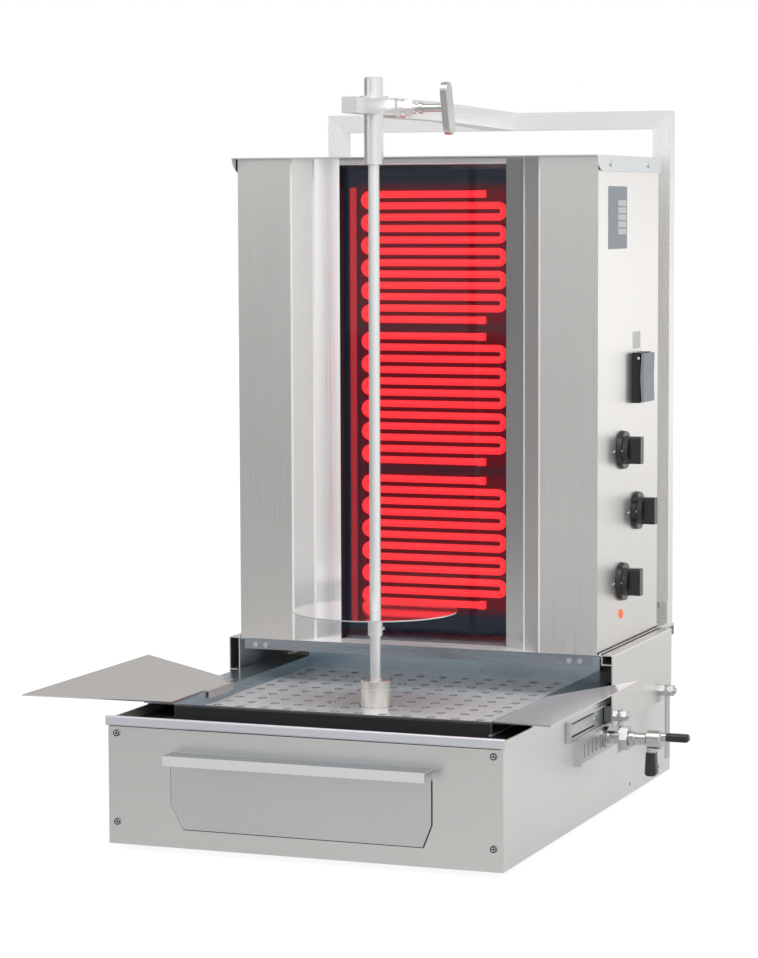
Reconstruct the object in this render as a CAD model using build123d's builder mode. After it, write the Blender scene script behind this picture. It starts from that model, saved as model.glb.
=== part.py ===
from build123d import *
import os

os.makedirs("parts", exist_ok=True)

# Electric doner kebab grill, in millimetres. X is across, Y runs from the front to the back, Z is up.
# The origin is under the middle of the whole object, on the surface that it stands on.
# Places below are given as x, the distance to the right of the spit, d, the distance behind the
# front face of the base, and h, the height above the underside of the base. at_x, at_y and at_z
# turn them into the part's own frame, which the lock handle on the right side shifts a little.

# Driving dimensions
base_width = 500.0
base_depth = 706.0
base_height = 152.0
foot_height = 8.0
sheet = 2.0
thin_sheet = 1.5

overall_front = -70.0
overall_back = 731.0
overall_left = -329.0
overall_right = 361.0
front_y = -(overall_front + overall_back) / 2
middle_x = -(overall_left + overall_right) / 2

drawer_half_width = 163.0
drawer_top = 116.0
drawer_bottom = 23.5
drawer_depth = 430.0
handle_reach = 30.0

pan_half_width = 205.0
pan_front = 92.0
pan_back = 527.0
pan_floor = 143.0
pan_rim = 158.0

carriage_half_width = 263.0
carriage_front = 391.0
carriage_back = 665.0
skirt_bottom = 108.0
deck_top = 199.0

tower_half_width = 244.0
tower_front = 386.0
tower_back = 658.0
tower_top = 824.0
glass_d = 428.0
glass_half_width = 128.0

spit_d = 244.5
spit_radius = 7.0
disc_radius = 102.5
disc_h = 263.0

mast_half_width = 246.0
mast_tube = 24.0
mast_front = base_depth
mast_top = 889.0

arm_tube = 24.0
arm_wall = 2.0
arm_inner = 19.6
arm_h = 884.0

half_base = base_width / 2

screw_x = 238.7
screw_rows = (27.0, 134.5)
shank = 1.8


def at_x(x):
    return middle_x + x


def at_y(d):
    return front_y + d


def at_z(h):
    return foot_height + h


def slab(x, d, h, mode=Mode.ADD):
    """A straight block between two values on each axis."""
    with Locations((at_x((x[0] + x[1]) / 2), at_y((d[0] + d[1]) / 2), at_z((h[0] + h[1]) / 2))):
        Box(abs(x[1] - x[0]), abs(d[1] - d[0]), abs(h[1] - h[0]), mode=mode)


def round_x(d, h, x, radius, mode=Mode.ADD):
    """A round bar along X."""
    with BuildSketch(Plane.YZ.offset(at_x(x[0]))) as section:
        with Locations((at_y(d), at_z(h))):
            Circle(radius)
    extrude(to_extrude=section.sketch, amount=x[1] - x[0], mode=mode)


def round_y(x, h, d, radius, mode=Mode.ADD):
    """A round bar along Y."""
    with BuildSketch(Plane.XZ.offset(-at_y(d[1]))) as section:
        with Locations((at_x(x), at_z(h))):
            Circle(radius)
    extrude(to_extrude=section.sketch, amount=d[1] - d[0], mode=mode)


def round_z(x, d, h, radius, mode=Mode.ADD):
    """A round bar along Z."""
    with BuildSketch(Plane.XY.offset(at_z(h[0]))) as section:
        with Locations((at_x(x), at_y(d))):
            Circle(radius)
    extrude(to_extrude=section.sketch, amount=h[1] - h[0], mode=mode)


def column(points, h, mode=Mode.ADD):
    """A column with the plan outline given as (x, d) points."""
    with BuildSketch(Plane.XY.offset(at_z(h[0]))) as section:
        with BuildLine():
            Polyline(*[(at_x(x), at_y(d)) for x, d in points], close=True)
        make_face()
    extrude(to_extrude=section.sketch, amount=h[1] - h[0], mode=mode)


def beam(points, x, mode=Mode.ADD):
    """A beam along X with the side outline given as (d, h) points."""
    with BuildSketch(Plane.YZ.offset(at_x(x[0]))) as section:
        with BuildLine():
            Polyline(*[(at_y(d), at_z(h)) for d, h in points], close=True)
        make_face()
    extrude(to_extrude=section.sketch, amount=x[1] - x[0], mode=mode)


def channel(points, d, mode=Mode.ADD):
    """A length along Y with the front outline given as (x, h) points."""
    with BuildSketch(Plane.XZ.offset(-at_y(d[1]))) as section:
        with BuildLine():
            Polyline(*[(at_x(x), at_z(h)) for x, h in points], close=True)
        make_face()
    extrude(to_extrude=section.sketch, amount=d[1] - d[0], mode=mode)


def hexagon_x(d, h, x, across_flats, mode=Mode.ADD):
    """A hexagonal head or nut along X."""
    with BuildSketch(Plane.YZ.offset(at_x(x[0]))) as section:
        with Locations((at_y(d), at_z(h))):
            RegularPolygon(across_flats / 2, 6, major_radius=False)
    extrude(to_extrude=section.sketch, amount=x[1] - x[0], mode=mode)


def screw_y(x, h, d, reach, radius=3.0):
    """A pan head screw whose head stands on the face at d and whose shank runs back."""
    round_y(x, h, (d - 1.6, d), radius)
    round_y(x, h, (d - 0.1, d + reach), radius * 0.5)
    round_y(x, h, (d - 1.7, d - 0.9), radius * 0.38, mode=Mode.SUBTRACT)


def save(piece, name):
    piece.part.label = name
    export_step(piece.part, "parts/" + name + ".step")


# Lower box

with BuildPart() as base_floor:
    slab((-half_base + sheet, half_base - sheet), (sheet, base_depth - sheet), (0, sheet))
save(base_floor, "base_floor")

for side, name in ((-1, "base_side_left"), (1, "base_side_right")):
    outer = side * half_base
    inner = side * (half_base - sheet)
    lower_flange = side * (half_base - 14)
    with BuildPart() as base_side:
        slab((inner, outer), (sheet, base_depth), (0, base_height))
        slab((inner, lower_flange), (sheet, 12), (sheet, base_height - 3))
        for hole_h in screw_rows:
            round_y(side * screw_x, hole_h, (1, 13), shank, mode=Mode.SUBTRACT)
        if side > 0:
            for hole_d, hole_h in ((514, 13), (651, 13), (648, 6)):
                round_x(hole_d, hole_h, (half_base - 4, half_base + 1), 2.4, mode=Mode.SUBTRACT)
    save(base_side, name)

with BuildPart() as base_rear:
    inside = half_base - sheet
    slab((-inside, inside), (base_depth - sheet, base_depth), (0, base_height))
    slab((-inside, inside), (base_depth - 14, base_depth - sheet), (base_height - sheet, base_height))
save(base_rear, "base_rear")

lip_height = 12.0
lip_depth = 4.8
with BuildPart() as base_front:
    slab((-half_base, half_base), (0, sheet), (0, base_height - 2))
    with BuildSketch(Plane.YZ.offset(at_x(-half_base - 2.5))) as lip:
        with Locations((at_y(sheet - lip_depth / 2), at_z(base_height - 2.5))):
            RectangleRounded(lip_depth, lip_height, 2.3)
    extrude(to_extrude=lip.sketch, amount=base_width + 5)
    opening = drawer_half_width - 12
    slab((-opening, opening), (-1, sheet + 1), (drawer_bottom + 2, drawer_top - 6), mode=Mode.SUBTRACT)
    for x in (-screw_x, screw_x):
        for h in screw_rows:
            round_y(x, h, (-1, sheet + 1), shank, mode=Mode.SUBTRACT)
save(base_front, "base_front")

with BuildPart() as front_screws:
    for x in (-screw_x, screw_x):
        for h in screw_rows:
            screw_y(x, h, 0, 8, radius=2 * shank)
save(front_screws, "front_screws")

with BuildPart() as rubber_feet:
    for x in (-205, 205):
        for d in (60, base_depth - 60):
            with BuildSketch(Plane.XY) as foot:
                with Locations((at_x(x), at_y(d))):
                    Circle(15)
            extrude(to_extrude=foot.sketch, amount=foot_height, taper=-6)
save(rubber_feet, "rubber_feet")

# The ledges carry the pan, and a dark cross member in front of it closes the gap behind the base front.
member_d = (pan_front - 6, pan_front - 3)
with BuildPart() as pan_ledges:
    slab((-pan_half_width + 3, pan_half_width - 3), member_d, (pan_floor - 20, pan_rim - 2))
    for side in (-1, 1):
        wall = side * (half_base - sheet)
        leg = side * (half_base - 2 * sheet)
        shelf_edge = side * (pan_half_width - 25)
        channel([(wall, pan_floor - 22), (wall, pan_floor - sheet), (shelf_edge, pan_floor - sheet),
                 (shelf_edge, pan_floor - 2 * sheet), (leg, pan_floor - 2 * sheet), (leg, pan_floor - 22)],
                (14, base_depth - 16))
save(pan_ledges, "pan_ledges")

drawer_lift = 26.5
runner_top = drawer_lift - 0.5
with BuildPart() as drawer_runners:
    for side in (-1, 1):
        channel([(side * x, h) for x, h in (
            (182, sheet), (150, sheet), (150, runner_top - thin_sheet), (130, runner_top - thin_sheet),
            (130, runner_top), (151.5, runner_top), (151.5, sheet + thin_sheet), (182, sheet + thin_sheet))],
            (14, 480))
save(drawer_runners, "drawer_runners")

# Drawer under the tray

with BuildPart() as drawer_front:
    with BuildSketch(Plane.XZ.offset(-at_y(-0.3))) as face_plate:
        with BuildLine():
            Polyline(*[(at_x(x), at_z(h)) for x, h in (
                (-drawer_half_width - 4, drawer_top), (-drawer_half_width - 4, 53), (-151.5, drawer_bottom),
                (152.5, drawer_bottom), (drawer_half_width, 50), (drawer_half_width, drawer_top))], close=True)
        make_face()
    extrude(to_extrude=face_plate.sketch, amount=thin_sheet)
    lip_x = (-drawer_half_width - 2, drawer_half_width + 2)
    beam([(-0.3, drawer_top), (-handle_reach, drawer_top), (-handle_reach, drawer_top - 12),
          (-handle_reach + thin_sheet, drawer_top - 12), (-handle_reach + thin_sheet, drawer_top - thin_sheet),
          (-0.3, drawer_top - thin_sheet)], lip_x)
save(drawer_front, "drawer_front")

with BuildPart() as drawer_tray:
    slab((-148, 148), (-0.3, drawer_depth), (drawer_lift, drawer_top - 10))
    slab((-146.5, 146.5), (1.2, drawer_depth - 1.5), (drawer_lift + 1.5, drawer_top), mode=Mode.SUBTRACT)
save(drawer_tray, "drawer_tray")

# Drip pan with its two wings

hole_radius = 4.0
hole_pitch_x = 31.5
hole_pitch_d = 34.0
with BuildPart() as pan_floor_sheet:
    slab((-pan_half_width, pan_half_width), (pan_front, pan_back), (pan_floor - sheet, pan_floor))
    with BuildSketch(Plane.XY.offset(at_z(pan_floor - 3))) as perforation:
        with Locations((at_x(0), at_y(305))):
            with GridLocations(hole_pitch_x, hole_pitch_d, 13, 12):
                Circle(hole_radius)
        with Locations((at_x(0), at_y(spit_d))):
            Circle(24, mode=Mode.SUBTRACT)
            Circle(20.5)
    extrude(to_extrude=perforation.sketch, amount=6, mode=Mode.SUBTRACT)
save(pan_floor_sheet, "pan_floor")

rear_wall_top = 179.0
rim_flange = 246.0
with BuildPart() as pan_rim_frame:
    slab((-pan_half_width, pan_half_width), (pan_front, pan_back), (pan_floor, pan_rim))
    slab((-rim_flange, rim_flange), (pan_front, pan_back), (pan_rim - thin_sheet, pan_rim))
    slab((-pan_half_width + thin_sheet, pan_half_width - thin_sheet),
         (pan_front + thin_sheet, pan_back - thin_sheet), (pan_floor - 1, pan_rim + 1), mode=Mode.SUBTRACT)
    slab((-pan_half_width, pan_half_width), (pan_back - thin_sheet, pan_back), (pan_floor, rear_wall_top))
    slab((-pan_half_width, pan_half_width), (pan_back - thin_sheet, pan_back + 14),
         (rear_wall_top - thin_sheet, rear_wall_top))
save(pan_rim_frame, "pan_rim")

wing_outer = 329.0
wing_inner = pan_half_width + 3.5
wing_rise = 186.5
wing_front_inner = 90.0
wing_back = 281.0
for side, name in ((-1, "pan_wing_left"), (1, "pan_wing_right")):
    with BuildPart() as pan_wing:
        # The sheet is cut from a sloped blank, so its plan outline is true from above.
        channel([(side * wing_inner, pan_rim + 0.5), (side * wing_outer, wing_rise - thin_sheet),
                 (side * wing_outer, wing_rise), (side * wing_inner, pan_rim + 0.5 + thin_sheet)],
                (overall_front - 1, wing_back))
        column([(side * (wing_inner - 1), wing_front_inner), (side * (wing_inner - 1), overall_front - 5),
                (side * (wing_outer + 1), overall_front - 5), (side * (wing_outer + 1), overall_front),
                (side * wing_outer, overall_front), (side * wing_inner, wing_front_inner)],
               (pan_rim - 5, wing_rise + 5), mode=Mode.SUBTRACT)
        # A hook hangs the sheet over the pan's rim.
        channel([(side * (wing_inner + 1), pan_rim + 0.5 + thin_sheet), (side * (wing_inner + 1), pan_rim + 0.5),
                 (side * (pan_half_width - 3), pan_rim + 0.5), (side * (pan_half_width - 3), pan_rim - 8),
                 (side * (pan_half_width - 4.5), pan_rim - 8), (side * (pan_half_width - 4.5), pan_rim + 2)],
                (wing_back - 95, wing_back - 20))
        slab((side * wing_inner, side * (wing_inner + thin_sheet)), (wing_front_inner + 4, wing_back - 4),
             (pan_rim, pan_rim + 1))
        # A folded foot rests on the top of the base side.
        slab((side * (half_base - 1.8), side * (half_base - 0.3)), (110, wing_back - 10), (base_height, 168))
    save(pan_wing, name)

# Spit drive

bracket_d = (spit_d + 12, spit_d + 70)
inner_wall = half_base - sheet
with BuildPart() as drive_motor:
    slab((-inner_wall, inner_wall), bracket_d, (116, 118))
    for side in (-1, 1):
        slab((side * (inner_wall - sheet), side * inner_wall), bracket_d, (106, 118))
    slab((-36, 36), (spit_d - 36, spit_d + 90), (118, 133))
    round_z(0, spit_d, (132, pan_floor - 3), 19)
    round_y(0, 125, (spit_d + 80, spit_d + 190), 14)
    round_z(0, spit_d, (110, pan_floor), 8.05, mode=Mode.SUBTRACT)
save(drive_motor, "drive_motor")

socket_floor = 156.0
socket_top = 176.0
with BuildPart() as drive_socket:
    round_z(0, spit_d, (pan_floor - sheet, socket_top), 18.7)
    round_z(0, spit_d, (166, 169), 20, mode=Mode.SUBTRACT)
    round_z(0, spit_d, (165.9, 169.1), 17.6)
    round_z(0, spit_d, (socket_floor, socket_top + 1), spit_radius + 0.05, mode=Mode.SUBTRACT)
    top_edges = drive_socket.edges().filter_by(GeomType.CIRCLE).group_by(Axis.Z)[-1]
    chamfer(top_edges, 1.2)
    round_z(0, spit_d, (119, pan_floor), 8)
save(drive_socket, "drive_socket")

spit_top = 845.0
with BuildPart() as spit_rod:
    round_z(0, spit_d, (socket_floor, spit_top), spit_radius)
    tip = spit_rod.edges().filter_by(GeomType.CIRCLE).group_by(Axis.Z)[-1]
    chamfer(tip, 4)
save(spit_rod, "spit_rod")

with BuildPart() as spit_disc:
    round_z(0, spit_d, (disc_h - 1.5, disc_h), disc_radius)
    round_z(0, spit_d, (disc_h - 3, disc_h + 1), spit_radius, mode=Mode.SUBTRACT)
save(spit_disc, "spit_disc")

with BuildPart() as spit_collar:
    round_z(0, spit_d, (231.5, disc_h - 1.5), 9.4)
    round_z(0, spit_d, (252, disc_h - 1.5), 14)
    round_x(spit_d, 241, (6, 12), 2.2)
    round_z(0, spit_d, (230, disc_h), spit_radius, mode=Mode.SUBTRACT)
save(spit_collar, "spit_collar")

# Telescopic slides, the rack and the carriage that carries the heater

slide_back = 650.0
with BuildPart() as slides_fixed:
    for side in (-1, 1):
        x0 = side * half_base
        x1 = side * (half_base + 1.5)
        x2 = side * (half_base + 6)
        slab((x0, x1), (240, slide_back), (111, 137.5))
        slab((x1, x2), (240, slide_back), (111, 113))
        slab((x1, x2), (240, slide_back), (135.5, 137.5))
        slab((x1, x2), (238, 242), (111, 137.5))
save(slides_fixed, "slides_fixed")

slide_skin = carriage_half_width - thin_sheet
with BuildPart() as slides_moving:
    for side in (-1, 1):
        slab((side * (half_base + 2.5), side * slide_skin), (carriage_front - 2, carriage_back - 42), (114, 134.5))
save(slides_moving, "slides_moving")

rack_front = 272.0
rack_back = 470.0
rack_pitch = 17.0
with BuildPart() as rack_plate:
    slab((half_base, half_base + 2), (rack_front, rack_back), (77, 108))
    slab((half_base, half_base + 9), (rack_front, rack_front + 2), (77, 108))
    for index in range(6):
        slot_d = rack_front + 18 + rack_pitch * index
        slab((half_base - 1, half_base + 3), (slot_d - 3, slot_d + 3), (77 + 6, 100), mode=Mode.SUBTRACT)
save(rack_plate, "rack_plate")

wall_gap = 15.0
fold_h = {-1: 155.0, 1: 185.5}
bolt_places = (398.0, 616.0)
bolt_h = 122.0
for side, name in ((-1, "carriage_side_left"), (1, "carriage_side_right")):
    with BuildPart() as carriage_side:
        outer = side * carriage_half_width
        outer_in = side * (carriage_half_width - thin_sheet)
        inner = side * (carriage_half_width - wall_gap)
        inner_out = side * (carriage_half_width - wall_gap + thin_sheet)
        length = (carriage_front, carriage_back)
        slab((outer_in, outer), length, (skirt_bottom, deck_top))
        slab((inner, outer), length, (deck_top - thin_sheet, deck_top))
        slab((inner, inner_out), length, (fold_h[side], deck_top))
        slab((inner, outer), length, (fold_h[side], fold_h[side] + thin_sheet))
        top_edges = carriage_side.edges().filter_by(Axis.Y).group_by(Axis.Z)[-1]
        fillet(top_edges.sort_by(Axis.X)[-1 if side > 0 else 0], 2.4)
        for d in bolt_places:
            round_x(d, bolt_h, (side * (slide_skin - 1), side * (carriage_half_width + 1)), 4, mode=Mode.SUBTRACT)
    save(carriage_side, name)

deck_half = carriage_half_width - wall_gap
shelf_top = deck_top - 2
shelf_under = shelf_top - 3
tongue = deck_half - 8
deck_bolt_places = (-222.0, -208.0, 208.0, 222.0)
with BuildPart() as carriage_deck:
    slab((-deck_half, deck_half), (tower_front - 1, carriage_back), (shelf_top, deck_top))
    slab((-deck_half + 10, deck_half - 10), (tower_front - 1, tower_front + 1), (deck_top - 14, deck_top))
    slab((-deck_half, deck_half), (carriage_back - 2, carriage_back), (base_height + 2, deck_top))
    slab((-tongue, tongue), (carriage_back - 3, carriage_back + 1), (shelf_under, shelf_top), mode=Mode.SUBTRACT)
    for x in deck_bolt_places:
        round_y(x, 191, (tower_front - 2, tower_front + 2), 1.7, mode=Mode.SUBTRACT)
save(carriage_deck, "carriage_deck")

# Heater tower

knob_places = (("knob_upper", 491.0, 450.6), ("knob_middle", 557.0, 366.7), ("knob_lower", 490.0, 281.0))
lamp_d = 490.0
lamp_h = 239.0
lid_screw_places = (430.0, 600.0)
lid_screw_h = tower_top - 9
bracket_screw_x = 233.0
bracket_screw_h = 223.5
bracket_screw_d = 687.0
for side, name in ((-1, "tower_side_left"), (1, "tower_side_right")):
    outer = side * tower_half_width
    inner = side * (tower_half_width - thin_sheet)
    with BuildPart() as tower_side:
        slab((inner, outer), (tower_front + 2, tower_back), (deck_top, tower_top))
        slab((inner, side * (tower_half_width - 14)), (tower_back - thin_sheet, tower_back), (deck_top, tower_top))
        slab((inner, side * (tower_half_width - 12)), (tower_front + 6, tower_back), (deck_top, deck_top + 1.5))
        holes = [(d, lid_screw_h, 2.0) for d in lid_screw_places]
        if side > 0:
            holes += [(d, h, 5.0) for _, d, h in knob_places] + [(lamp_d, lamp_h, 4.0)]
        for d, h, radius in holes:
            round_x(d, h, (side * (tower_half_width - 3), side * (tower_half_width + 1)), radius,
                    mode=Mode.SUBTRACT)
    save(tower_side, name)

with BuildPart() as tower_rear:
    half = tower_half_width - 14
    slab((-half, half), (tower_back - thin_sheet, tower_back), (deck_top, tower_top))
    for row in range(8):
        slab((-90, 90), (tower_back - 3, tower_back + 1), (690 + 12 * row, 694 + 12 * row), mode=Mode.SUBTRACT)
    round_y(-150, 240, (tower_back - 3, tower_back + 1), 8.1, mode=Mode.SUBTRACT)
save(tower_rear, "tower_rear")

lid_half = 247.0
lid_front = 372.5
with BuildPart() as tower_lid:
    slab((-lid_half, lid_half), (lid_front, tower_back), (tower_top, tower_top + thin_sheet))
    for side in (-1, 1):
        plane_x = at_x(min(side * lid_half, side * (lid_half - thin_sheet)))
        with BuildSketch(Plane.YZ.offset(plane_x)) as flange:
            with BuildLine():
                lid_face = at_z(tower_top + thin_sheet)
                flange_foot = at_z(tower_top - 18)
                lid_rear = at_y(tower_back)
                Polyline((lid_rear, lid_face), (at_y(lid_front), lid_face))
                foot_front = at_y(lid_front + 21)
                Spline((at_y(lid_front), lid_face), (at_y(lid_front + 5), at_z(tower_top - 8)),
                       (foot_front, flange_foot))
                Polyline((foot_front, flange_foot), (lid_rear, flange_foot), (lid_rear, lid_face))
            make_face()
        extrude(to_extrude=flange.sketch, amount=thin_sheet)
        for d in lid_screw_places:
            round_x(d, lid_screw_h, (side * (lid_half - 3), side * (lid_half + 1)), 2, mode=Mode.SUBTRACT)
save(tower_lid, "tower_lid")

# Each fold is a short bend between two flat faces.
fold_outline = [(tower_half_width, 386.0), (169.5, 382.9), (166.8, 383.7), (144.5, 397.2), (141.8, 398.9),
                (113.7, 415.0)]
for side, name in ((-1, "reflector_left"), (1, "reflector_right")):
    with BuildPart() as reflector:
        front = [(side * x, d) for x, d in fold_outline]
        back = [(side * x, d + 1.9) for x, d in reversed(fold_outline)]
        column(front + back, (deck_top, tower_top))
        edge_x = fold_outline[-1][0]
        slab((side * edge_x, side * (edge_x + thin_sheet)), (fold_outline[-1][1], glass_d), (deck_top, tower_top))
        slab((side * tower_half_width, side * (tower_half_width - thin_sheet)), (386, 388), (deck_top, tower_top))
    save(reflector, name)

with BuildPart() as glass_panel:
    slab((-glass_half_width, glass_half_width), (glass_d, glass_d + 4), (deck_top, tower_top - 4))
save(glass_panel, "glass_panel")

with BuildPart() as top_trim:
    slab((-113.7, 113.7), (415, glass_d), (tower_top - 8.5, tower_top))
    front_edges = top_trim.edges().filter_by(Axis.X).group_by(Axis.Y)[0]
    fillet(front_edges, 3)
save(top_trim, "top_trim")

bar_pitch = 14.65
bar_count = 12
bar_radius = 4.7
element_d = glass_d + 12
zone_tops = (("heater_upper", 778.0), ("heater_middle", 595.5), ("heater_lower", 410.0))
bend = bar_pitch / 2
short_end = 71.0
for name, zone_top in zone_tops:
    with BuildPart() as heater:
        plane = Plane.XZ.offset(-at_y(element_d))
        left = at_x(-81.0)
        bend_x = at_x(short_end + 24)
        with BuildLine(plane) as route:
            for index in range(bar_count):
                h = at_z(zone_top - bar_pitch * index)
                right = at_x(short_end) if index in (0, bar_count - 1) else bend_x
                Line((left, h), (right, h))
                if index < bar_count - 1:
                    below = h - bar_pitch
                    if index % 2 == 0:
                        ThreePointArc((left, h), (left - bend, h - bend), (left, below))
                    else:
                        ThreePointArc((bend_x, h), (bend_x + bend, h - bend), (bend_x, below))
        start = (at_x(short_end), at_y(element_d), at_z(zone_top))
        with BuildSketch(Plane(origin=start, z_dir=(1, 0, 0))):
            Circle(bar_radius)
        sweep(path=route.wires()[0])
        for h in (zone_top, zone_top - bar_pitch * (bar_count - 1)):
            with Locations((at_x(short_end + 2), at_y(element_d), at_z(h))):
                Box(8, 9.8, 9.8)
    save(heater, name)

board_front = element_d + 5.2
with BuildPart() as insulation_board:
    board_half = tower_half_width - thin_sheet
    slab((-board_half, board_half), (board_front, board_front + 6), (deck_top + 10, tower_top - 14))
save(insulation_board, "insulation_board")

# Controls on the right side of the tower

side_x = tower_half_width
for name, d, h in knob_places:
    with BuildPart() as knob:
        with BuildSketch(Plane.YZ.offset(at_x(side_x + 0.4))) as rim:
            with Locations((at_y(d), at_z(h))):
                Circle(25)
        extrude(to_extrude=rim.sketch, amount=6, taper=8)
        slab((side_x + 6, side_x + 27.5), (d - 7, d + 7), (h - 17.5, h + 17.5))
        grip_edges = knob.edges().filter_by(Axis.X).group_by(Axis.X)[-1]
        fillet(grip_edges, 2.5)
        with BuildSketch(Plane.YZ.offset(at_x(side_x + 6))) as collar:
            with Locations((at_y(d), at_z(h))):
                Circle(19)
        extrude(to_extrude=collar.sketch, amount=6, taper=28)
        round_x(d, h, (side_x - 24, side_x + 2), 3)
    save(knob, name)

with BuildPart() as energy_regulators:
    for _, d, h in knob_places:
        slab((side_x - 44, side_x - 5), (d - 22, d + 22), (h - 20, h + 20))
        round_x(d, h, (side_x - 5.1, side_x - thin_sheet), 8)
        round_x(d, h, (side_x - 25, side_x), 3.05, mode=Mode.SUBTRACT)
save(energy_regulators, "energy_regulators")

switch_d = (537.0, 588.0)
switch_h = (508.0, 573.0)
switch_mid_d = sum(switch_d) / 2
switch_mid_h = sum(switch_h) / 2
with BuildPart() as switch_box:
    slab((side_x, side_x + 10.5), switch_d, switch_h)
    slab((side_x + 3, side_x + 11), (switch_mid_d - 10, switch_mid_d + 10), (switch_mid_h - 7, switch_mid_h + 7),
         mode=Mode.SUBTRACT)
save(switch_box, "switch_box")

# The rocker covers the whole box; its underside slopes both ways so that it can tilt.
cap_low = side_x + 10.8
cap_top = side_x + 16.0
half_long = (switch_h[1] - switch_h[0]) / 2 - 1
with BuildPart() as switch_rocker:
    with BuildSketch(Plane.XZ.offset(-at_y(switch_d[1] - 1))) as rocker_side:
        with BuildLine():
            Polyline(*[(at_x(x), at_z(h)) for x, h in (
                (cap_low, switch_mid_h), (cap_low + 1.8, switch_mid_h - half_long),
                (cap_top, switch_mid_h - half_long), (cap_top - 0.9, switch_mid_h),
                (cap_top, switch_mid_h + half_long), (cap_low + 1.8, switch_mid_h + half_long))], close=True)
        make_face()
    extrude(to_extrude=rocker_side.sketch, amount=switch_d[1] - switch_d[0] - 2)
    slab((side_x + 5, side_x + 13), (switch_mid_d - 9, switch_mid_d + 9), (switch_mid_h - 5, switch_mid_h + 5))
save(switch_rocker, "switch_rocker")

with BuildPart() as indicator_lamp:
    round_x(lamp_d, lamp_h, (side_x - 12, side_x), 4.0)
    round_x(lamp_d, lamp_h, (side_x, side_x + 2.5), 5.6)
    fillet(indicator_lamp.edges().group_by(Axis.X)[-1], 1.5)
save(indicator_lamp, "indicator_lamp")

with BuildPart() as cable_gland:
    round_y(-150, 240, (tower_back - 10, tower_back + 20), 8)
    with BuildSketch(Plane.XZ.offset(-at_y(tower_back + 8))) as nut:
        with Locations((at_x(-150), at_z(240))):
            RegularPolygon(12, 6, major_radius=False)
    extrude(to_extrude=nut.sketch, amount=8)
    round_y(-150, 240, (tower_back - 11, tower_back + 21), 5, mode=Mode.SUBTRACT)
save(cable_gland, "cable_gland")

# Mast at the back of the carriage, with its arm

with BuildPart() as mast_shelf:
    slab((-tongue, tongue), (carriage_back - 30, carriage_back), (shelf_under, shelf_top))
    slab((-deck_half, deck_half), (carriage_back, overall_back), (shelf_under, shelf_top))
    slab((-deck_half, deck_half), (overall_back - 2, overall_back), (shelf_top - 16, shelf_top))
    for x in (-bracket_screw_x, bracket_screw_x):
        round_z(x, bracket_screw_d, (shelf_under - 1, shelf_top + 1), 1.7, mode=Mode.SUBTRACT)
save(mast_shelf, "mast_shelf")

mast_back = mast_front + mast_tube
mast_wall = 2.0
for side, name in ((-1, "mast_post_left"), (1, "mast_post_right")):
    with BuildPart() as mast_post:
        outer = side * mast_half_width
        inner = side * (mast_half_width - mast_tube)
        slab((inner, outer), (mast_front, mast_back), (shelf_top, mast_top))
        slab((inner + side * mast_wall, outer - side * mast_wall),
             (mast_front + mast_wall, mast_back - mast_wall), (shelf_top - 1, mast_top - mast_tube - 5),
             mode=Mode.SUBTRACT)
        channel([(inner - side, mast_top - mast_tube - 1), (inner - side, mast_top + 1),
                 (outer + side, mast_top + 1)], (mast_front - 1, mast_back + 1), mode=Mode.SUBTRACT)
        round_y(side * bracket_screw_x, bracket_screw_h, (mast_front - 1, mast_front + 3), 1.7,
                mode=Mode.SUBTRACT)
    save(mast_post, name)

with BuildPart() as mast_crossbar:
    inner = mast_half_width - mast_tube
    channel([(-mast_half_width, mast_top), (mast_half_width, mast_top),
             (inner, mast_top - mast_tube), (-inner, mast_top - mast_tube)],
            (mast_front, mast_back))
save(mast_crossbar, "mast_crossbar")

bracket_face = mast_front - 2
with BuildPart() as mast_brackets:
    for side in (-1, 1):
        width = (side * (mast_half_width - mast_tube - 2), side * (mast_half_width - 1))
        slab(width, (bracket_face, mast_front), (shelf_top, bracket_screw_h + 6))
        slab(width, (bracket_face - 30, mast_front), (shelf_top, shelf_top + 2))
        round_y(side * bracket_screw_x, bracket_screw_h, (bracket_face - 1, mast_front + 1), 1.7,
                mode=Mode.SUBTRACT)
        round_z(side * bracket_screw_x, bracket_screw_d, (shelf_top - 1, shelf_top + 3), 1.7, mode=Mode.SUBTRACT)
save(mast_brackets, "mast_brackets")

skin = carriage_half_width
strap_inner = skin + 7
strap_outer = strap_inner + 2.5
with BuildPart() as carriage_screws:
    for x in deck_bolt_places:
        screw_y(x, 191, tower_front - 1, 6, radius=3.4)
    for side in (-1, 1):
        for d in lid_screw_places:
            round_x(d, lid_screw_h, (side * (tower_half_width - 6), side * lid_half), 2)
            round_x(d, lid_screw_h, (side * lid_half, side * (lid_half + 1.4)), 3.6)
        screw_y(side * bracket_screw_x, bracket_screw_h, bracket_face, 5, radius=3.4)
        round_z(side * bracket_screw_x, bracket_screw_d, (shelf_under, shelf_top + 2), 1.7)
        round_z(side * bracket_screw_x, bracket_screw_d, (shelf_top + 2, shelf_top + 3.6), 3.4)
    # The slide bolts on the right are longer, because they also hold the lock's two straps.
    for d in bolt_places:
        round_x(d, bolt_h, (slide_skin, skin + 20), 4)
        hexagon_x(d, bolt_h, (skin, skin + 5.5), 13)
        round_x(d, bolt_h, (skin + 5.5, strap_inner), 8)
        round_x(d, bolt_h, (strap_outer, strap_outer + 1.5), 8)
        hexagon_x(d, bolt_h, (strap_outer + 1.5, strap_outer + 8), 13)
        round_x(d, bolt_h, (-slide_skin, -skin), 4)
        hexagon_x(d, bolt_h, (-skin, -skin - 5.5), 13)
save(carriage_screws, "carriage_screws")

arm_front = 296.0
slider_front = 163.0
slider_back = 430.0
half_arm = arm_tube / 2
half_slider = arm_inner / 2
clamp_d = 315.0
nut_end = half_arm + 18
root_d = 475.0
root_right = 29.7
root_drop = mast_top - (arm_h + half_arm)


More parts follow.
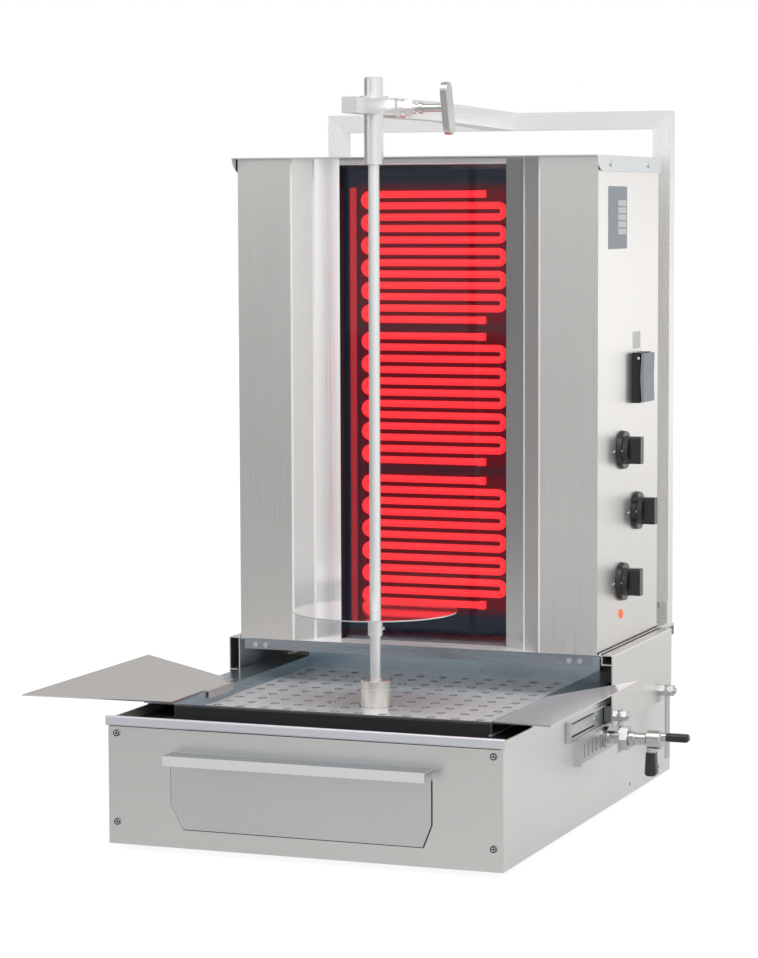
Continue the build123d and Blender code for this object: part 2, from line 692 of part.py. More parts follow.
def arm_section(d, right, drop, wall):
    """One cross-section of the arm's root, as a sketch on the plane at d."""
    with BuildSketch(Plane.XZ.offset(-at_y(d))) as section:
        with Locations((at_x((right - half_arm) / 2), at_z(arm_h + drop))):
            Rectangle(right + half_arm - 2 * wall, arm_tube - 2 * wall)
    return section.sketch


with BuildPart() as outer_tube:
    slab((-half_arm, half_arm), (arm_front, root_d), (arm_h - half_arm, arm_h + half_arm))
    # The root widens to the right and drops a little towards the crossbar.
    loft(sections=[arm_section(root_d, half_arm, 0, 0), arm_section(mast_front, root_right, root_drop, 0)])
    bore = half_arm - arm_wall
    slab((-bore, bore), (arm_front - 1, root_d), (arm_h - bore, arm_h + bore), mode=Mode.SUBTRACT)
    loft(sections=[arm_section(root_d, half_arm, 0, arm_wall),
                   arm_section(mast_front - 2, root_right, root_drop, arm_wall)], mode=Mode.SUBTRACT)
    round_x(clamp_d, arm_h, (half_arm, half_arm + 5), 11.8)
    hexagon_x(clamp_d, arm_h, (half_arm + 5, nut_end - 4), 20)
    round_x(clamp_d, arm_h, (nut_end - 4, nut_end), 7.5)
    round_x(clamp_d, arm_h, (0, nut_end + 1), 5.05, mode=Mode.SUBTRACT)
save(outer_tube, "arm_tube")

pivot_radius = 7.5
with BuildPart() as arm_slider:
    slab((-half_slider, half_slider), (slider_front, slider_back), (arm_h - half_slider, arm_h + half_slider))
    bore = half_slider - thin_sheet
    slab((-bore, bore), (slider_front + 2, slider_back + 1), (arm_h - bore, arm_h + bore), mode=Mode.SUBTRACT)
    round_z(0, spit_d, (arm_h - 20, arm_h + 20), pivot_radius, mode=Mode.SUBTRACT)
save(arm_slider, "arm_slider")

sleeve_bottom = 813.5
slider_bottom = arm_h - half_slider
slider_top = arm_h + half_slider
with BuildPart() as spit_sleeve:
    round_z(0, spit_d, (sleeve_bottom, slider_bottom), 11.8)
    round_z(0, spit_d, (slider_bottom, slider_top + 3), pivot_radius)
    round_z(0, spit_d, (sleeve_bottom - 1, slider_bottom - 4), spit_radius + 1.2, mode=Mode.SUBTRACT)
save(spit_sleeve, "spit_sleeve")

with BuildPart() as sleeve_cap:
    round_z(0, spit_d, (slider_top, slider_top + 3), 18.2)
    round_z(0, spit_d, (slider_top + 3, 920), 11.5)
    chamfer(sleeve_cap.edges().filter_by(GeomType.CIRCLE).group_by(Axis.Z)[-1], 1.5)
    round_z(0, spit_d, (slider_top - 1, slider_top + 3), pivot_radius, mode=Mode.SUBTRACT)
save(sleeve_cap, "sleeve_cap")

clamp_bar_x = 66.5
with BuildPart() as clamp_screw:
    round_x(clamp_d, arm_h, (half_slider + 0.3, clamp_bar_x), 5)
    round_x(clamp_d, arm_h, (nut_end + 4, nut_end + 9), 7)
    with BuildSketch(Plane.YZ.offset(at_x(clamp_bar_x))) as bar_outline:
        with Locations((at_y(clamp_d), at_z(arm_h - 1))):
            SlotOverall(66, 22, rotation=105)
    extrude(to_extrude=bar_outline.sketch, amount=9)
    fillet(clamp_screw.edges().group_by(Axis.X)[-1], 1.5)
save(clamp_screw, "clamp_screw")

# Lock on the right side that holds the carriage on its rack

lock_d = 398.0
lock_h = 94.0
strap_half = 8.0
with BuildPart() as lock_straps:
    slab((strap_inner, strap_outer), (lock_d - strap_half, lock_d + strap_half), (76, 130))
    round_x(lock_d, lock_h, (strap_outer, strap_outer + 1.5), 16)
    hexagon_x(lock_d, lock_h, (strap_outer + 1.5, strap_outer + 11), 28)
    round_x(lock_d, lock_h, (strap_inner - 1, strap_outer + 12), 8.05, mode=Mode.SUBTRACT)
    slab((strap_inner, strap_outer), (bolt_places[1] - strap_half, bolt_places[1] + strap_half), (32, 130))
    for d in bolt_places:
        round_x(d, bolt_h, (strap_inner - 1, strap_outer + 1), 4, mode=Mode.SUBTRACT)
save(lock_straps, "lock_straps")

hub_inner = 306.0
hub_outer = 326.0
neck_x = 312.0
neck = 6.5
grip_h = lock_h + 4.0
with BuildPart() as lock_spindle:
    round_x(lock_d, lock_h, (hub_inner, hub_outer), 12)
    chamfer(lock_spindle.edges().filter_by(GeomType.CIRCLE), 2)
    round_x(lock_d, lock_h, (half_base + 7, hub_inner), 8)
    round_x(lock_d, lock_h, (strap_outer + 12, strap_outer + 18), 9.6)
    round_x(lock_d, lock_h, (half_base + 2.3, half_base + 7), 13.5)
    round_z(neck_x, lock_d, (lock_h - 16, lock_h - 8), neck)
    round_x(lock_d, grip_h, (hub_outer - 3, hub_outer + 6), neck - 1)
save(lock_spindle, "lock_spindle")

with BuildPart() as lock_grips:
    with BuildSketch(Plane.XY.offset(at_z(lock_h - 16))) as lower_grip:
        with Locations((at_x(neck_x), at_y(lock_d))):
            RectangleRounded(12.5, 18, 5)
    extrude(to_extrude=lower_grip.sketch, amount=-30, taper=-3)
    fillet(lock_grips.edges().group_by(Axis.Z)[0], 4)
    with BuildSketch(Plane.YZ.offset(at_x(hub_outer + 6))) as side_grip:
        with Locations((at_y(lock_d), at_z(grip_h))):
            RectangleRounded(14, 10.5, 4.5)
    extrude(to_extrude=side_grip.sketch, amount=overall_right - hub_outer - 6)
    fillet(lock_grips.edges().group_by(Axis.X)[-1], 4)
save(lock_grips, "lock_grips")
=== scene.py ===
from math import cos, pi, sin

import bpy
from mathutils import Matrix, Vector


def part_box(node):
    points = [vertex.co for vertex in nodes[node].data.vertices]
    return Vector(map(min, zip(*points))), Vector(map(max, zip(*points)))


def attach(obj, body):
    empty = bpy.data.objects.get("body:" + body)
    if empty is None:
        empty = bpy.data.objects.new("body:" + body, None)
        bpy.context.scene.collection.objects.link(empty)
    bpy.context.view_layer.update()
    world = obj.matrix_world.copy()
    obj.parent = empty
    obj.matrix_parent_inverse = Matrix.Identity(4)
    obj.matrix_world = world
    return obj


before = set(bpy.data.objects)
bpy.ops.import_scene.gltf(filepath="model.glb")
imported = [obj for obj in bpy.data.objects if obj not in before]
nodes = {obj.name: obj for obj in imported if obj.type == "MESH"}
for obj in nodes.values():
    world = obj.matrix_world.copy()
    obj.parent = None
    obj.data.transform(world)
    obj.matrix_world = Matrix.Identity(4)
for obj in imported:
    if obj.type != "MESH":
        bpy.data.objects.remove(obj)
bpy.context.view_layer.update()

MM = 0.001

# Places that the CAD gives
spit_low, spit_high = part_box("spit_rod")
spit_x = (spit_low.x + spit_high.x) / 2
spit_y = (spit_low.y + spit_high.y) / 2
tower_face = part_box("tower_side_right")[1].x
deck_low, deck_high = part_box("carriage_deck")
base_low, base_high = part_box("base_front")
base_sheet = 2 * MM
front_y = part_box("base_side_right")[0].y - base_sheet

# Measures that part.py also has, in mm
lip_rise = 12.0
lip_reach = 2.8
screw_head = 3.6
hole_radius = 4.0
hole_columns, hole_rows = 13, 12
hole_pitch_x, hole_pitch_y = 31.5, 34.0
hole_grid_middle = 305.0
socket_clearance = 30.0
inner_bend = (141.7, 144.6)
outer_bend = (166.7, 169.6)

# The drawer front's outline, as x from the spit and z, in mm
drawer_outline = ((-167.6, 110.0), (-167.6, 61.0), (-151.9, 30.8), (152.9, 30.8), (163.6, 58.0),
                  (163.6, 110.0))


# Node trees

def new_tree(name, kind, inputs, outputs):
    """A node tree with named sockets, each given as (name, type, default)."""
    tree = bpy.data.node_groups.new(name, kind)
    for label, socket, default in inputs:
        item = tree.interface.new_socket(name=label, in_out="INPUT", socket_type=socket)
        if default is not None:
            item.default_value = default
    for label, socket in outputs:
        tree.interface.new_socket(name=label, in_out="OUTPUT", socket_type=socket)
    return tree


def add(tree, kind, **settings):
    node = tree.nodes.new(kind)
    for name, value in settings.items():
        setattr(node, name, value)
    return node


def make_brushed_grain():
    """Fine lines of a brushed sheet. Stretch squeezes the pattern on each axis, so the lines run
    along the axis with the smallest number."""
    tree = new_tree("brushed_grain", "ShaderNodeTree", [
        ("Stretch", "NodeSocketVector", (8.0, 8.0, 900.0)),
        ("Tint", "NodeSocketColor", (0.7, 0.7, 0.7, 1.0)),
        ("Tone spread", "NodeSocketFloat", 0.06),
        ("Roughness", "NodeSocketFloat", 0.3),
        ("Roughness spread", "NodeSocketFloat", 0.08),
    ], [("Color", "NodeSocketColor"), ("Roughness", "NodeSocketFloat"), ("Height", "NodeSocketFloat")])
    ends = add(tree, "NodeGroupInput"), add(tree, "NodeGroupOutput")
    given, put = ends[0].outputs, ends[1].inputs
    place = add(tree, "ShaderNodeTexCoord")
    stretch = add(tree, "ShaderNodeVectorMath", operation="MULTIPLY")
    lines = add(tree, "ShaderNodeTexNoise")
    lines.inputs["Scale"].default_value = 1.0
    lines.inputs["Detail"].default_value = 3.0
    clouds = add(tree, "ShaderNodeTexNoise")
    clouds.inputs["Scale"].default_value = 7.0
    clouds.inputs["Detail"].default_value = 2.0
    tree.links.new(place.outputs["Object"], stretch.inputs[0])
    tree.links.new(given["Stretch"], stretch.inputs[1])
    tree.links.new(stretch.outputs[0], lines.inputs["Vector"])
    tree.links.new(place.outputs["Object"], clouds.inputs["Vector"])
    both = add(tree, "ShaderNodeMath", operation="MULTIPLY_ADD")
    tree.links.new(clouds.outputs["Fac"], both.inputs[0])
    both.inputs[1].default_value = 0.5
    tree.links.new(lines.outputs["Fac"], both.inputs[2])
    centred = add(tree, "ShaderNodeMath", operation="SUBTRACT")
    tree.links.new(both.outputs[0], centred.inputs[0])
    centred.inputs[1].default_value = 0.75
    tone = add(tree, "ShaderNodeMath", operation="MULTIPLY_ADD")
    tree.links.new(centred.outputs[0], tone.inputs[0])
    tree.links.new(given["Tone spread"], tone.inputs[1])
    tone.inputs[2].default_value = 1.0
    colour = add(tree, "ShaderNodeVectorMath", operation="SCALE")
    tree.links.new(given["Tint"], colour.inputs[0])
    tree.links.new(tone.outputs[0], colour.inputs["Scale"])
    tree.links.new(colour.outputs[0], put["Color"])
    rough = add(tree, "ShaderNodeMath", operation="MULTIPLY_ADD")
    tree.links.new(centred.outputs[0], rough.inputs[0])
    tree.links.new(given["Roughness spread"], rough.inputs[1])
    tree.links.new(given["Roughness"], rough.inputs[2])
    tree.links.new(rough.outputs[0], put["Roughness"])
    tree.links.new(lines.outputs["Fac"], put["Height"])
    return tree


def make_fine_mottle():
    """A fine even mottle for moulded plastic, rubber, paint and castings."""
    tree = new_tree("fine_mottle", "ShaderNodeTree", [
        ("Size", "NodeSocketFloat", 900.0),
        ("Tint", "NodeSocketColor", (0.05, 0.05, 0.05, 1.0)),
        ("Tone spread", "NodeSocketFloat", 0.3),
        ("Roughness", "NodeSocketFloat", 0.4),
        ("Roughness spread", "NodeSocketFloat", 0.15),
    ], [("Color", "NodeSocketColor"), ("Roughness", "NodeSocketFloat"), ("Height", "NodeSocketFloat")])
    ends = add(tree, "NodeGroupInput"), add(tree, "NodeGroupOutput")
    given, put = ends[0].outputs, ends[1].inputs
    place = add(tree, "ShaderNodeTexCoord")
    specks = add(tree, "ShaderNodeTexNoise")
    specks.inputs["Detail"].default_value = 2.0
    tree.links.new(place.outputs["Object"], specks.inputs["Vector"])
    tree.links.new(given["Size"], specks.inputs["Scale"])
    centred = add(tree, "ShaderNodeMath", operation="SUBTRACT")
    tree.links.new(specks.outputs["Fac"], centred.inputs[0])
    centred.inputs[1].default_value = 0.5
    tone = add(tree, "ShaderNodeMath", operation="MULTIPLY_ADD")
    tree.links.new(centred.outputs[0], tone.inputs[0])
    tree.links.new(given["Tone spread"], tone.inputs[1])
    tone.inputs[2].default_value = 1.0
    colour = add(tree, "ShaderNodeVectorMath", operation="SCALE")
    tree.links.new(given["Tint"], colour.inputs[0])
    tree.links.new(tone.outputs[0], colour.inputs["Scale"])
    tree.links.new(colour.outputs[0], put["Color"])
    rough = add(tree, "ShaderNodeMath", operation="MULTIPLY_ADD")
    tree.links.new(centred.outputs[0], rough.inputs[0])
    tree.links.new(given["Roughness spread"], rough.inputs[1])
    tree.links.new(given["Roughness"], rough.inputs[2])
    tree.links.new(rough.outputs[0], put["Roughness"])
    tree.links.new(specks.outputs["Fac"], put["Height"])
    return tree


brushed_grain = make_brushed_grain()
fine_mottle = make_fine_mottle()


def finish_with(name, group, settings, metallic=0.0, bump=0.0, coat=0.0):
    """A material whose colour and roughness come from a pattern group."""
    material = bpy.data.materials.new(name)
    material.use_nodes = True
    tree = material.node_tree
    shader = tree.nodes["Principled BSDF"]
    pattern = add(tree, "ShaderNodeGroup", node_tree=group)
    for label, value in settings.items():
        pattern.inputs[label].default_value = value
    tree.links.new(pattern.outputs["Color"], shader.inputs["Base Color"])
    tree.links.new(pattern.outputs["Roughness"], shader.inputs["Roughness"])
    shader.inputs["Metallic"].default_value = metallic
    shader.inputs["Coat Weight"].default_value = coat
    if bump:
        relief = add(tree, "ShaderNodeBump")
        relief.inputs["Strength"].default_value = bump
        relief.inputs["Distance"].default_value = 0.0002
        tree.links.new(pattern.outputs["Height"], relief.inputs["Height"])
        tree.links.new(relief.outputs["Normal"], shader.inputs["Normal"])
    return material


def steel(name, tint, stretch, roughness=0.3, spread=0.09, bump=0.25, metallic=1.0):
    return finish_with(name, brushed_grain, {
        "Stretch": stretch, "Tint": (*tint, 1.0), "Tone spread": spread,
        "Roughness": roughness, "Roughness spread": 0.12}, metallic=metallic, bump=bump)


def moulded(name, tint, roughness, size=900.0, spread=0.3, bump=0.1, coat=0.0, metallic=0.0):
    return finish_with(name, fine_mottle, {
        "Size": size, "Tint": (*tint, 1.0), "Tone spread": spread, "Roughness": roughness},
        metallic=metallic, bump=bump, coat=coat)


lines_along_x = (6.0, 700.0, 700.0)
lines_along_y = (700.0, 6.0, 700.0)
lines_along_z = (700.0, 700.0, 6.0)
warm_steel = (0.76, 0.74, 0.715)
plain_steel = (0.77, 0.76, 0.74)

sheet_x = steel("steel_brushed_across", plain_steel, lines_along_x)
sheet_y = steel("steel_brushed_along", warm_steel, lines_along_y)
sheet_z = steel("steel_brushed_upright", plain_steel, lines_along_z)
side_sheet = steel("steel_brushed_side", (0.80, 0.78, 0.755), lines_along_z, roughness=0.38)
lid_sheet = steel("steel_lid", (0.70, 0.725, 0.735), lines_along_x, roughness=0.3)
drawer_sheet = steel("steel_drawer", (0.70, 0.69, 0.70), lines_along_x, roughness=0.34)
base_side_sheet = steel("steel_base_side", (0.90, 0.89, 0.87), lines_along_y, roughness=0.36,
                        metallic=0.85)
pan_sheet = steel("steel_pan", (0.96, 0.965, 0.975), lines_along_y, roughness=0.2, spread=0.14,
                  bump=0.05, metallic=0.25)
deck_sheet = steel("steel_deck", (0.95, 0.96, 0.97), lines_along_x, roughness=0.3, metallic=0.3)
shade_sheet = steel("steel_in_shade", (0.34, 0.38, 0.42), lines_along_x, roughness=0.28)
# Flat blue-grey steel for the base front's top lip: painted shading in place of the lip's own light and
# shade.
lip_painted_shading = steel("steel_lip_painted_shading", (0.76, 0.77, 0.82), lines_along_x, roughness=0.4, metallic=0.8)
# Bright steel for the front of the drawer's handle lip: a painted highlight.
handle_lip_painted_highlight = steel("steel_handle_lip_painted_highlight", (0.93, 0.93, 0.92), lines_along_x, roughness=0.3,
                      spread=0.02, bump=0.0, metallic=0.45)
# Near-white steel for the narrow bend facets of the reflectors: a painted highlight along each fold.
bend_painted_highlight = steel("steel_bend_painted_highlight", (0.97, 0.97, 0.97), lines_along_z, roughness=0.3, spread=0.02,
                    bump=0.0, metallic=0.25)
disc_steel = steel("steel_disc", (0.78, 0.78, 0.79), lines_along_x, roughness=0.06, spread=0.02,
                   bump=0.0)
rim_sheet = steel("steel_pan_rim", (0.42, 0.50, 0.56), lines_along_x, roughness=0.24, spread=0.1,
                  bump=0.1, metallic=0.9)
# Two copies of the wing steel: the left wing darker as painted shade, the right wing lighter as painted
# light.
wing_left_painted_shade = steel("steel_wing_left_painted_shade", (0.73, 0.695, 0.67), lines_along_y, roughness=0.24, bump=0.1)
wing_right_painted_light = steel("steel_wing_right_painted_light", (0.93, 0.895, 0.91), lines_along_y, roughness=0.12,
                         bump=0.05, metallic=0.35)
# Lit and shaded copies of one steel for the inner folds beside the glass: painted light on the left
# fold, painted shade on the right fold.
fold_left_painted_light = steel("steel_inner_fold_painted_light", (0.97, 0.975, 0.98), lines_along_z, roughness=0.16,
                  spread=0.03, bump=0.08)
fold_right_painted_shade = steel("steel_inner_fold_painted_shade", (0.72, 0.735, 0.72), lines_along_z, roughness=0.13,
                   bump=0.08)
bright_trim = steel("steel_trim", (0.97, 0.97, 0.97), lines_along_x, roughness=0.25, spread=0.03,
                    bump=0.05, metallic=0.3)
mirror_steel = steel("steel_polished", (0.90, 0.90, 0.895), lines_along_x, roughness=0.09,
                     spread=0.02, bump=0.0, metallic=0.8)
rod_steel = steel("steel_spit_rod", (0.95, 0.955, 0.955), lines_along_z, roughness=0.25, spread=0.05,
                  bump=0.1, metallic=0.7)
tube_steel = steel("steel_tube", (0.88, 0.875, 0.865), lines_along_x, roughness=0.28, metallic=0.85)
cross_steel = steel("steel_crossbar", (0.94, 0.93, 0.92), lines_along_x, roughness=0.3, metallic=0.75)
post_steel = steel("steel_post", (0.97, 0.96, 0.945), lines_along_z, roughness=0.28, metallic=0.6)
plated = steel("zinc_plated", (0.62, 0.63, 0.64), lines_along_y, roughness=0.32)
dark_rail = steel("rail_dark", (0.20, 0.21, 0.22), lines_along_y, roughness=0.35)
cast_metal = moulded("cast_metal", (0.62, 0.61, 0.60), 0.24, size=1400.0, spread=0.2, bump=0.15,
                     metallic=1.0)
nut_metal = steel("nut_metal", (0.94, 0.90, 0.84), lines_along_x, roughness=0.2, metallic=0.75)
black_plastic = moulded("knob_black", (0.012, 0.013, 0.016), 0.3, bump=0.04, coat=0.25)
switch_grey = moulded("switch_grey", (0.27, 0.33, 0.37), 0.4, bump=0.05)
switch_black = moulded("switch_black", (0.012, 0.012, 0.014), 0.35, bump=0.05)
rubber = moulded("foot_rubber", (0.02, 0.02, 0.02), 0.75, bump=0.2)
motor_paint = moulded("motor_paint", (0.06, 0.06, 0.065), 0.5, bump=0.2)
# Black for real seals and strips, and also for painted shade on pan_ledges, the pan hole rings, the
# drawer and lip shadow lines and the front screws.
black_seal_and_painted_shade = moulded("black_seal_and_painted_shade", (0.015, 0.015, 0.016), 0.6, bump=0.1)
plate_grey = moulded("plate_grey", (0.33, 0.37, 0.40), 0.45, bump=0.03)
plate_pale = moulded("plate_pale", (0.80, 0.80, 0.79), 0.5, spread=0.05, bump=0.02)
mark_white = moulded("mark_white", (0.85, 0.85, 0.84), 0.5, spread=0.05, bump=0.0)


def make_glass():
    material = bpy.data.materials.new("front_glass")
    material.use_nodes = True
    shader = material.node_tree.nodes["Principled BSDF"]
    shader.inputs["Base Color"].default_value = (0.86, 0.90, 0.95, 1.0)
    shader.inputs["Roughness"].default_value = 0.02
    shader.inputs["IOR"].default_value = 1.26
    shader.inputs["Transmission Weight"].default_value = 1.0
    return material


def make_element_glow():
    """Glowing element. The fine turns of its winding show as a slight ripple in the glow."""
    material = bpy.data.materials.new("element_glow")
    material.use_nodes = True
    tree = material.node_tree
    shader = tree.nodes["Principled BSDF"]
    place = add(tree, "ShaderNodeTexCoord")
    turns = add(tree, "ShaderNodeTexWave", wave_type="BANDS", bands_direction="DIAGONAL")
    turns.inputs["Scale"].default_value = 260.0
    turns.inputs["Distortion"].default_value = 1.5
    tree.links.new(place.outputs["Object"], turns.inputs["Vector"])
    glow = add(tree, "ShaderNodeMix", data_type="RGBA")
    tree.links.new(turns.outputs["Fac"], glow.inputs["Factor"])
    glow.inputs["A"].default_value = (0.90, 0.006, 0.012, 1.0)
    glow.inputs["B"].default_value = (1.0, 0.034, 0.046, 1.0)
    tree.links.new(glow.outputs["Result"], shader.inputs["Emission Color"])
    rays = add(tree, "ShaderNodeLightPath")
    seen = add(tree, "ShaderNodeMath", operation="MAXIMUM")
    tree.links.new(rays.outputs["Is Camera Ray"], seen.inputs[0])
    tree.links.new(rays.outputs["Is Transmission Ray"], seen.inputs[1])
    strength = add(tree, "ShaderNodeMath", operation="MULTIPLY_ADD")
    tree.links.new(seen.outputs[0], strength.inputs[0])
    strength.inputs[1].default_value = 1.0
    strength.inputs[2].default_value = 0.2
    tree.links.new(strength.outputs[0], shader.inputs["Emission Strength"])
    shader.inputs["Base Color"].default_value = (0.25, 0.02, 0.02, 1.0)
    shader.inputs["Roughness"].default_value = 0.6
    return material


def make_side_glow():
    material = bpy.data.materials.new("side_glow")
    material.use_nodes = True
    tree = material.node_tree
    shader = tree.nodes["Principled BSDF"]
    place = add(tree, "ShaderNodeTexCoord")
    cut = add(tree, "ShaderNodeSeparateXYZ")
    tree.links.new(place.outputs["Object"], cut.inputs[0])
    rise = add(tree, "ShaderNodeMapRange")
    rise.inputs["From Min"].default_value = 0.25
    rise.inputs["From Max"].default_value = 0.8
    tree.links.new(cut.outputs["Z"], rise.inputs["Value"])
    glow = add(tree, "ShaderNodeMix", data_type="RGBA")
    tree.links.new(rise.outputs["Result"], glow.inputs["Factor"])
    glow.inputs["A"].default_value = (0.30, 0.010, 0.016, 1.0)
    glow.inputs["B"].default_value = (0.52, 0.014, 0.022, 1.0)
    tree.links.new(glow.outputs["Result"], shader.inputs["Emission Color"])
    shader.inputs["Emission Strength"].default_value = 1.0
    shader.inputs["Base Color"].default_value = (0.1, 0.01, 0.01, 1.0)
    return material


def make_board_painted_light():
    """Dark board with painted light: a maroon glow from the elements close to each element zone that
    fades out around it, and a faint blue-black glow elsewhere.
    """
    material = bpy.data.materials.new("board_painted_light")
    material.use_nodes = True
    tree = material.node_tree
    shader = tree.nodes["Principled BSDF"]
    place = add(tree, "ShaderNodeTexCoord")
    cut = add(tree, "ShaderNodeSeparateXYZ")
    tree.links.new(place.outputs["Object"], cut.inputs[0])
    total = None
    fade = 0.014
    for name in ("heater_upper", "heater_middle", "heater_lower"):
        low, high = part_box(name)
        masks = []
        for axis, at, sign in (("X", low.x, 1), ("X", high.x, -1), ("Z", low.z, 1), ("Z", high.z, -1)):
            edge = add(tree, "ShaderNodeMapRange", interpolation_type="SMOOTHSTEP")
            edge.inputs["From Min"].default_value = at - sign * fade
            edge.inputs["From Max"].default_value = at + sign * fade * 0.3
            tree.links.new(cut.outputs[axis], edge.inputs["Value"])
            masks.append(edge.outputs["Result"])
        product = masks[0]
        for other in masks[1:]:
            times = add(tree, "ShaderNodeMath", operation="MULTIPLY")
            tree.links.new(product, times.inputs[0])
            tree.links.new(other, times.inputs[1])
            product = times.outputs[0]
        if total is None:
            total = product
        else:
            most = add(tree, "ShaderNodeMath", operation="MAXIMUM")
            tree.links.new(total, most.inputs[0])
            tree.links.new(product, most.inputs[1])
            total = most.outputs[0]
    # Painted light: faint blue-black over the board, maroon near the elements.
    glow = add(tree, "ShaderNodeMix", data_type="RGBA")
    tree.links.new(total, glow.inputs["Factor"])
    glow.inputs["A"].default_value = (0.009, 0.012, 0.021, 1.0)
    glow.inputs["B"].default_value = (0.13, 0.001, 0.005, 1.0)
    tree.links.new(glow.outputs["Result"], shader.inputs["Emission Color"])
    shader.inputs["Emission Strength"].default_value = 1.0
    shader.inputs["Base Color"].default_value = (0.006, 0.006, 0.008, 1.0)
    shader.inputs["Roughness"].default_value = 0.9
    shader.inputs["Specular IOR Level"].default_value = 0.1
    return material


def make_lamp_lens():
    material = bpy.data.materials.new("lamp_lens")
    material.use_nodes = True
    tree = material.node_tree
    shader = tree.nodes["Principled BSDF"]
    pattern = add(tree, "ShaderNodeGroup", node_tree=fine_mottle)
    pattern.inputs["Tint"].default_value = (0.9, 0.12, 0.02, 1.0)
    pattern.inputs["Size"].default_value = 500.0
    tree.links.new(pattern.outputs["Color"], shader.inputs["Base Color"])
    tree.links.new(pattern.outputs["Color"], shader.inputs["Emission Color"])
    shader.inputs["Emission Strength"].default_value = 0.6
    shader.inputs["Roughness"].default_value = 0.2
    shader.inputs["Coat Weight"].default_value = 0.6
    return material


front_glass = make_glass()
element_glow = make_element_glow()
side_glow = make_side_glow()
board_painted_light = make_board_painted_light()
lamp_lens = make_lamp_lens()

finishes = {
    "base_floor": plated, "base_side_left": base_side_sheet, "base_side_right": base_side_sheet,
    "base_rear": sheet_x,
    # pan_ledges is dressed black: painted shade for the band between the pan's front and the base lip.
    "base_front": sheet_x, "front_screws": mirror_steel, "rubber_feet": rubber, "pan_ledges": black_seal_and_painted_shade,
    "drawer_runners": plated, "drawer_front": drawer_sheet, "drawer_tray": drawer_sheet,
    # The wings carry painted shade on the left and painted light on the right.
    "pan_floor": pan_sheet, "pan_rim": rim_sheet, "pan_wing_left": wing_left_painted_shade,
    "pan_wing_right": wing_right_painted_light,
    "drive_motor": motor_paint, "drive_socket": nut_metal, "spit_rod": rod_steel,
    "spit_disc": disc_steel,
    "spit_collar": rod_steel, "slides_fixed": plated, "slides_moving": dark_rail, "rack_plate": plated,
    "carriage_side_left": sheet_y, "carriage_side_right": side_sheet, "carriage_deck": deck_sheet,
    "carriage_screws": plated, "tower_side_left": side_sheet, "tower_side_right": side_sheet,
    "tower_rear": sheet_z, "tower_lid": lid_sheet, "reflector_left": sheet_z, "reflector_right": sheet_z,
    "glass_panel": front_glass, "top_trim": bright_trim, "heater_upper": element_glow,
    "heater_middle": element_glow, "heater_lower": element_glow, "insulation_board": board_painted_light,
    "energy_regulators": black_plastic, "switch_box": switch_black, "switch_rocker": switch_grey,
    "indicator_lamp": lamp_lens, "cable_gland": black_plastic, "mast_shelf": sheet_x,
    "mast_post_left": post_steel, "mast_post_right": post_steel, "mast_crossbar": cross_steel,
    "mast_brackets": tube_steel, "arm_tube": tube_steel, "lock_straps": plated, "arm_slider": tube_steel,
    "spit_sleeve": tube_steel, "sleeve_cap": tube_steel, "clamp_screw": cast_metal,
    "lock_spindle": cast_metal, "lock_grips": black_plastic, "knob_upper": black_plastic,
    "knob_middle": black_plastic, "knob_lower": black_plastic,
}


def dress(name, material):
    mesh = nodes[name].data
    mesh.materials.clear()
    mesh.materials.append(material)


for name, material in finishes.items():
    dress(name, material)


def dress_faces(name, material, chosen):
    """Gives the faces that the test picks a finish of their own."""
    mesh = nodes[name].data
    mesh.materials.append(material)
    for face in mesh.polygons:
        if chosen(face.center, face.normal):
            face.material_index = len(mesh.materials) - 1


def dress_parts_of_pieces():
    """Polished folds beside the glass, with painted light on the left fold and painted shade on the
    right, painted highlights on the bends and on the drawer's handle lip, painted shading on the base's
    lip, and painted shade on the top of the drawer's lip and the front of the deck's lip.
    """
    # The inner folds get painted light on the left and painted shade on the right.
    for name, side, finish in (("reflector_left", -1, fold_left_painted_light), ("reflector_right", 1, fold_right_painted_shade)):
        dress_faces(name, finish, lambda at, way: side * (at.x - spit_x) < 142 * MM)
        # The bend facets facing ahead get a painted highlight.
        dress_faces(name, bend_painted_highlight, lambda at, way: (
            any(low < side * (at.x - spit_x) / MM < high for low, high in (inner_bend, outer_bend))
            and way.y < -0.5))
    # Painted shading on the base front's top lip.
    dress_faces("base_front", lip_painted_shading, lambda at, way: at.z > base_high.z - (lip_rise + 0.1) * MM)
    handle_back = front_y - 3 * MM
    deck_lip_back = deck_low.y + 1.2 * MM
    # Painted highlight on the front of the handle lip, painted shade on its top.
    dress_faces("drawer_front", handle_lip_painted_highlight, lambda at, way: at.y < handle_back and way.y < -0.9)
    dress_faces("drawer_front", shade_sheet, lambda at, way: at.y < handle_back and way.z > 0.9)
    dress_faces("carriage_deck", shade_sheet, lambda at, way: at.y < deck_lip_back and way.y < -0.9)


dress_parts_of_pieces()


# New pieces

def mesh_piece(name, vertices, faces, material, body):
    mesh = bpy.data.meshes.new(name)
    mesh.from_pydata(vertices, [], faces)
    mesh.materials.append(material)
    piece = bpy.data.objects.new(name, mesh)
    bpy.context.scene.collection.objects.link(piece)
    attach(piece, body)
    return piece


def block(low, high):
    """Corner points and outward faces of a straight block."""
    vertices = [(x, y, z) for x in (low[0], high[0])
                for y in (low[1], high[1]) for z in (low[2], high[2])]
    faces = [(0, 1, 3, 2), (4, 6, 7, 5), (0, 4, 5, 1), (2, 3, 7, 6), (0, 2, 6, 4), (1, 5, 7, 3)]
    return vertices, faces


def blocks(name, corners, material, body, bevel=0.0):
    vertices, faces = [], []
    for low, high in corners:
        points, sides = block(low, high)
        faces += [tuple(index + len(vertices) for index in side) for side in sides]
        vertices += points
    piece = mesh_piece(name, vertices, faces, material, body)
    if bevel:
        rounding = piece.modifiers.new("rounding", "BEVEL")
        rounding.width = bevel
        rounding.segments = 2
    return piece


